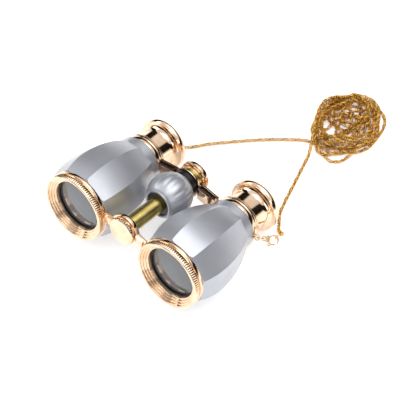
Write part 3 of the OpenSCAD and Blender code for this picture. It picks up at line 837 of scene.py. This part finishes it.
def knurl(piece, low, high, inner, teeth, depth):
    """Grooves a ring between low and high along Y, outside the radius inner, in mm."""
    edit(piece)
    mesh = bmesh.from_edit_mesh(piece.data)
    radius = 0
    for v in mesh.verts:
        r = math.hypot(v.co.x, v.co.z) / MM
        row = round(math.atan2(v.co.z, v.co.x) / (math.pi / teeth))
        in_band = low - 0.01 <= v.co.y / MM <= high + 0.01 and r > inner
        v.select = in_band and row % 2 == 1
        if v.select:
            radius = max(radius, r)
    mesh.select_flush_mode()
    bmesh.update_edit_mesh(piece.data)
    k = 1 - depth / radius
    bpy.ops.transform.resize(value=(k, 1, k), center_override=(0, 0, 0))
    done()


# %% [markdown]
# ## Objective bezels
# The ring round each front lens is a turned cup: a knurled outer edge to hold while
# it is screwed in, and inside it three polished steps that lead down to the glass.
# Each step ends in a soft bead, so it catches one bright and one dark line.

# %% Bezels
OPENING_R = 13.63
SPIGOT_R = 16.0
BEZEL_R = 17.73
FUNNEL = 2.7
BEZEL_TEETH = 104


def bezel():
    wall = 1.4
    step = (BEZEL_R - wall - OPENING_R) / 3
    down = FUNNEL / 3
    inner = BEZEL_R - wall
    outline = [
        *arc(inner + 0.35, 0.35, 0.35, 180, 270, 3),
        *arc(BEZEL_R - 0.5, 0.5, 0.5, 270, 360, 4),
        (BEZEL_R - 0.25, 0.62), (BEZEL_R, 0.75), (BEZEL_R, 2.95), (BEZEL_R - 0.25, 3.05),
        (BEZEL_R - 0.5, 3.2), (BEZEL_R - 0.5, 3.7), (SPIGOT_R, 3.7), (SPIGOT_R, 10.5),
        (SPIGOT_R - 1.4, 10.5), (SPIGOT_R - 1.4, 4.7), (OPENING_R, 4.7),
        *arc(OPENING_R + 0.3, FUNNEL + 0.3, 0.3, 180, 270, 3),
        (OPENING_R + step - 0.12, FUNNEL),
        (OPENING_R + step, FUNNEL - 0.12),
        *arc(OPENING_R + step + 0.3, 2 * down + 0.3, 0.3, 180, 270, 3),
        (OPENING_R + 2 * step - 0.12, 2 * down),
        (OPENING_R + 2 * step, 2 * down - 0.12),
        *arc(OPENING_R + 2 * step + 0.3, down + 0.3, 0.3, 180, 270, 3),
        (inner - 0.12, down),
        (inner, down - 0.12),
    ]
    piece = lathe("bezel", outline, 2 * BEZEL_TEETH)
    knurl(piece, 0.7, 3.0, BEZEL_R - 0.1, BEZEL_TEETH, 0.4)
    smooth_faces(piece, 38)
    return piece


pair(bezel(), "barrels", "rose_gold", "objective_bezel")
print("bezels made")

# %% [markdown]
# ## Lenses
# Both faces of the front lens bow out a little, and the lens by the eye is hollow on
# both sides. They are spun with many steps, because a reflection shows every flat.

# %% Lenses


def lens(name, edge_r, clear_r, front, rear, bow):
    """A lens whose faces bow out by bow, or in where bow is negative."""
    ball = (clear_r ** 2 + bow ** 2) / (2 * abs(bow))
    count = 10
    outline = []
    for i in range(count + 1):
        r = clear_r * i / count
        rise = math.sqrt(ball ** 2 - r ** 2) - math.sqrt(ball ** 2 - clear_r ** 2)
        outline.append((r, front - math.copysign(rise, bow)))
    outline += [(edge_r, front), (edge_r, rear)]
    for i in range(count, -1, -1):
        r = clear_r * i / count
        rise = math.sqrt(ball ** 2 - r ** 2) - math.sqrt(ball ** 2 - clear_r ** 2)
        outline.append((r, rear + math.copysign(rise, bow)))
    piece = lathe(name, outline, 96, closed=False)
    smooth_faces(piece, 20)
    return piece


front_lens = lens(
    "front_lens", edge_r=14.6, clear_r=OPENING_R - 0.6, front=5.7, rear=7.9, bow=0.8,
)
pair(front_lens, "barrels", "lens_glass", "objective_lens")
eye_lens = lens("eye_lens", edge_r=6.8, clear_r=5.6, front=57.55, rear=59.95, bow=-0.7)
pair(eye_lens, "eyepieces", "lens_glass", "eye_lens")
print("lenses made")

# %% [markdown]
# ## Eyecups and collars
# Each eyecup is a small trumpet: a straight neck, a hollow flare, a thin bead and a
# thick rounded rim. The knurled collar in front of it is what the fingers turn when
# it is taken apart.

# %% Eyecups
NECK_R = 10.3
EYECUP_R = 13.7
RIM_R = 1.85
RIM_Y = 66.55
COLLAR_REAR = 53.8


def eyecup():
    flare_r = EYECUP_R - 0.3 - NECK_R
    flare_y = RIM_Y - 2.4 - flare_r
    rim_x = EYECUP_R - RIM_R
    outline = [
        (6.0, 50.4), (9.3, 50.4), (9.3, COLLAR_REAR + 0.05),
        (NECK_R - 0.1, COLLAR_REAR + 0.05), (NECK_R, COLLAR_REAR + 0.15),
        *arc(NECK_R + flare_r, flare_y, flare_r, 180, 95, 14),
        (EYECUP_R - 0.3, flare_y + flare_r + 0.05),
        *arc(EYECUP_R - 0.42, flare_y + flare_r + 0.35, 0.3, -60, 75, 5),
        (EYECUP_R - 0.75, flare_y + flare_r + 0.78),
        *arc(rim_x, RIM_Y, RIM_R, -32, 130, 18),
        (9.9, RIM_Y - 0.6), (6.8, 61.15), (6.8, 57.55), (6.0, 57.55),
    ]
    piece = lathe("eyecup", outline, 128)
    smooth_faces(piece, 30)
    return piece


pair(eyecup(), "eyepieces", "rose_gold", "eyecup")

# %% Knurled collars
COLLAR_TEETH = 78


def collar():
    band = 12.55
    lip = 12.3
    outline = [
        (10.2, 51.0), (band - 0.1, 51.0), (band, 51.1), (band, 51.25), (band - 0.25, 51.32),
        (band - 0.2, 51.4), (band, 51.5), (band, 52.6), (band - 0.2, 52.7),
        (band - 0.45, 52.8), (band - 0.45, 53.05), (lip - 0.1, 53.1), (lip, 53.2),
        *arc(lip - 0.3, 53.5, 0.3, 0, 90, 3),
        (10.2, 53.8),
    ]
    piece = lathe("collar", outline, 2 * COLLAR_TEETH)
    knurl(piece, 51.45, 52.65, band - 0.1, COLLAR_TEETH, 0.26)
    smooth_faces(piece, 38)
    return piece


pair(collar(), "eyepieces", "rose_gold", "knurled_collar")
print("eyecups and collars made")

# %% [markdown]
# ## Caps and the lock ring
# The front hub is closed by a flat cap with a fine coin edge. The rear cap is larger,
# with the same edge. The dark ring where the brass tube enters the front hub is a
# threaded lock ring, and shows its thread as fine rings round it.

# %% Caps


def coin_cap(name, outline, low, high, inner, teeth, depth):
    piece = lathe(name, outline, 2 * teeth, closed=False)
    knurl(piece, low, high, inner, teeth, depth)
    smooth_faces(piece, 38)
    return piece


front_cap = coin_cap(
    "front_cap_detail",
    [
        (0, 0.9), (6.7, 0.9), (6.9, 0.98), (7.0, 1.1), (7.2, 1.2), (7.2, 2.9),
        (7.05, 3.1), (6.4, 3.1), (6.4, 3.6), (2.9, 3.6), (2.9, 7.6), (0, 7.6),
    ],
    1.15, 2.95, 7.1, 46, 0.2,
)
fit(front_cap, 0, FOCUS_HEIGHT, "barrels", "rose_gold", "front_cap")
rear_cap = coin_cap(
    "rear_hub_cap_detail",
    [
        (0, 52.3), (7.4, 52.3), (7.6, 52.4), (7.6, 53.2), (7.5, 53.3), (7.1, 53.3),
        (7.1, 53.8), (7.8, 53.8), (7.95, 53.9), (8.1, 54.0), (8.1, 55.7), (7.95, 55.8),
        *arc(7.4, 55.8, 0.4, 0, 90, 3), (6.4, 56.2), (6.2, 56.0), (0, 56.0),
    ],
    53.95, 55.75, 8.0, 52, 0.22,
)
fit(rear_cap, 0, FOCUS_HEIGHT, "eyepieces", "rose_gold", "rear_hub_cap")


def threaded_ring(inner, outer, low, high, threads):
    outline = [(inner, low), (outer - 0.3, low)]
    pitch = (high - low - 0.2) / threads
    for i in range(threads):
        y = low + 0.1 + i * pitch
        outline += [(outer - 0.25, y), (outer, y + pitch / 2)]
    outline += [(outer - 0.3, high), (inner, high)]
    piece = lathe("guide_tube_lock_ring_detail", outline, 96)
    smooth_faces(piece, 20)
    return piece


lock_ring = threaded_ring(inner=4.14, outer=5.1, low=5.5, high=7.6, threads=4)
fit(lock_ring, 0, FOCUS_HEIGHT, "barrels", "black_metal", "guide_tube_lock_ring")
print("caps and lock ring made")

# %% [markdown]
# ## Focusing knob
# A ball of brass, lacquered like the barrels, with shallow flutes for the fingers.
# The flutes are deepest at the widest place and fade out towards both ends. They
# change every point of the ball by its own amount, which no operator does, so the
# points are moved in a loop.

# %% Focusing knob
KNOB_R = 11.5
KNOB_FRONT = 27.55
KNOB_REAR = 44.45
KNOB_BORE = 6.6
FLUTES = 18
FLUTE_DEPTH = 0.3


def focus_knob():
    centre = (KNOB_FRONT + KNOB_REAR) / 2
    half = KNOB_REAR - centre
    end = math.degrees(math.acos(half / KNOB_R))
    lip = KNOB_R * math.sin(math.radians(end))
    outline = [
        (KNOB_BORE, KNOB_FRONT - 0.4),
        *arc(lip - 0.45, KNOB_FRONT - 0.1, 0.5, 200, 360, 6),
        (lip + 0.02, KNOB_FRONT + 0.12),
    ]
    for i in range(1, 31):
        a = math.radians(180 - end - (180 - 2 * end) * i / 30)
        outline.append((KNOB_R * math.sin(a), centre + KNOB_R * math.cos(a)))
    outline += [(lip - 0.2, KNOB_REAR), (KNOB_BORE, KNOB_REAR)]
    piece = lathe("focus_knob_detail", outline, 8 * FLUTES)
    for v in piece.data.vertices:
        r = math.hypot(v.co.x, v.co.z)
        t = (v.co.y / MM - centre) / (half * 0.93)
        if r / MM < lip + 0.1 or abs(t) >= 1:
            continue
        wave = abs(math.cos(math.atan2(v.co.z, v.co.x) * FLUTES / 2))
        cut = FLUTE_DEPTH * (1 - t * t) * (1 - wave)
        k = 1 - cut * MM / r
        v.co.x *= k
        v.co.z *= k
    smooth_faces(piece, 38)
    return piece


fit(focus_knob(), 0, FOCUS_HEIGHT, "knob", "painted_shell", "focus_knob")
print("knob made")

# %% [markdown]
# ## Bridges
# The two bridges are cast brass, filed, buffed and plated, so every edge is slightly
# rounded. They are already right in the frame: a copy is taken, its loose triangles
# are merged and dissolved into flat faces, and the edges are bevelled. The faces in the
# channel along each rear arm are coloured a dark brown of their own, as painted shade
# in that recess.

# %% Bridges
ARM_TOP = 4.5
ARM_FALL = 0.158
CHANNEL_DEPTH = 1.8
CHANNEL_Y = (47.33, 49.97)
CHANNEL_X = (8.7, 17.9)


def painted_shade_channel():
    material, tree, shader = new_material("painted_shade_channel")
    place = add(tree, "ShaderNodeTexCoord")
    shade_mottle = add(
        tree, "ShaderNodeTexNoise", Vector=place.outputs["Object"],
        Scale=900.0, Detail=3.0,
    )
    # Painted shade: the channel recess coloured dark brown, mottled a little.
    colour = ramp(tree, shade_mottle.outputs["Fac"], [
        (0.35, linear("#2A1A12")), (0.7, linear("#4A3020")),
    ])
    tree.links.new(colour.outputs["Color"], shader.inputs["Base Color"])
    shader.inputs["Metallic"].default_value = 0.6
    shader.inputs["Roughness"].default_value = 0.4
    return material


def bevelled_copy(node, width):
    """A copy of a CAD node, without the node's own marks, with rounded edges."""
    piece = copy_of(nodes[node], node + "_detail")
    piece.parent = None
    for key in list(piece.keys()):
        del piece[key]
    edit(piece)
    bpy.ops.mesh.select_all(action="SELECT")
    bpy.ops.mesh.remove_doubles(threshold=2e-6)
    bpy.ops.mesh.select_all(action="SELECT")
    bpy.ops.mesh.dissolve_limited(angle_limit=math.radians(0.6))
    done()
    soften(piece, width, limit=50)
    return piece


front_bridge = bevelled_copy("front_bridge", 0.09)
finish_with(front_bridge, ROSE_GOLD)
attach(front_bridge, "barrels")
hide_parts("front_bridge")

rear_bridge = bevelled_copy("rear_bridge", 0.09)
finish_with(rear_bridge, ROSE_GOLD)
# A second finish, painted shade, for the faces inside each channel.
rear_bridge.data.materials.append(painted_shade_channel())
upright = LAID.inverted()
dark = 0
for face in rear_bridge.data.polygons:
    x, y, z = (upright @ face.center) / MM
    floor = ARM_TOP - CHANNEL_DEPTH - ARM_FALL * abs(x) - 0.1
    inside = CHANNEL_X[0] < abs(x) < CHANNEL_X[1] and CHANNEL_Y[0] < y < CHANNEL_Y[1]
    if inside and z - FOCUS_HEIGHT > floor:
        face.material_index = 1
        dark += 1
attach(rear_bridge, "eyepieces")
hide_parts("rear_bridge")
print("bridges made, dark faces in the channels:", dark)

# %% [markdown]
# ## Table and light
# A pale table and three soft boxes: a big one overhead, one from the left and a weak
# one from the right. Polished metal shows what is round it, so the sky is not even: it is
# light overhead and dark low down, which draws the dark lines on the gold rims.

# %% Table
deselect()
bpy.ops.mesh.primitive_plane_add(size=6, location=(0, 0, 0))
table = bpy.context.object
table.name = "table"
table_paint, tree, shader = new_material("table_paint")
shader.inputs["Base Color"].default_value = (0.9, 0.9, 0.9, 1)
shader.inputs["Roughness"].default_value = 0.7
shader.inputs["Emission Color"].default_value = (1, 1, 1, 1)
shader.inputs["Emission Strength"].default_value = 0.45
finish_with(table, table_paint)

# %% Soft boxes


def soft_box(name, place, aim, size, power):
    data = bpy.data.lights.new(name, "AREA")
    data.shape = "RECTANGLE"
    data.size, data.size_y = size
    data.energy = power
    lamp = bpy.data.objects.new(name, data)
    bpy.context.scene.collection.objects.link(lamp)
    lamp.location = place
    facing = Vector(aim) - Vector(place)
    lamp.rotation_euler = facing.to_track_quat("-Z", "Y").to_euler()


soft_box("overhead", (0.1, 0.1, 0.9), (0, 0.03, 0), (0.9, 0.7), 5)
soft_box("left", (-0.8, -0.3, 0.45), (0, 0, 0), (0.5, 0.5), 2.2)
soft_box("right", (0.7, -0.5, 0.35), (0, 0, 0), (0.35, 0.5), 1.6)

world = bpy.data.worlds.new("studio")
bpy.context.scene.world = world
world.use_nodes = True
tree = world.node_tree
tree.nodes.clear()
look = add(tree, "ShaderNodeTexCoord")
split = add(tree, "ShaderNodeSeparateXYZ", Vector=look.outputs["Generated"])
sky = ramp(tree, split.outputs["Z"], [
    (0.0, (0.9, 0.9, 0.9, 1)), (0.07, (0.6, 0.6, 0.6, 1)),
    (0.12, (0.008, 0.007, 0.006, 1)), (0.56, (0.02, 0.018, 0.016, 1)),
    (0.62, (0.95, 0.95, 0.96, 1)),
])
glow = add(tree, "ShaderNodeBackground", Color=sky.outputs["Color"], Strength=1.0)
out = add(tree, "ShaderNodeOutputWorld", Surface=glow.outputs["Background"])
bpy.context.scene.view_settings.view_transform = "Standard"
print("lights set")

# %% The end
import json
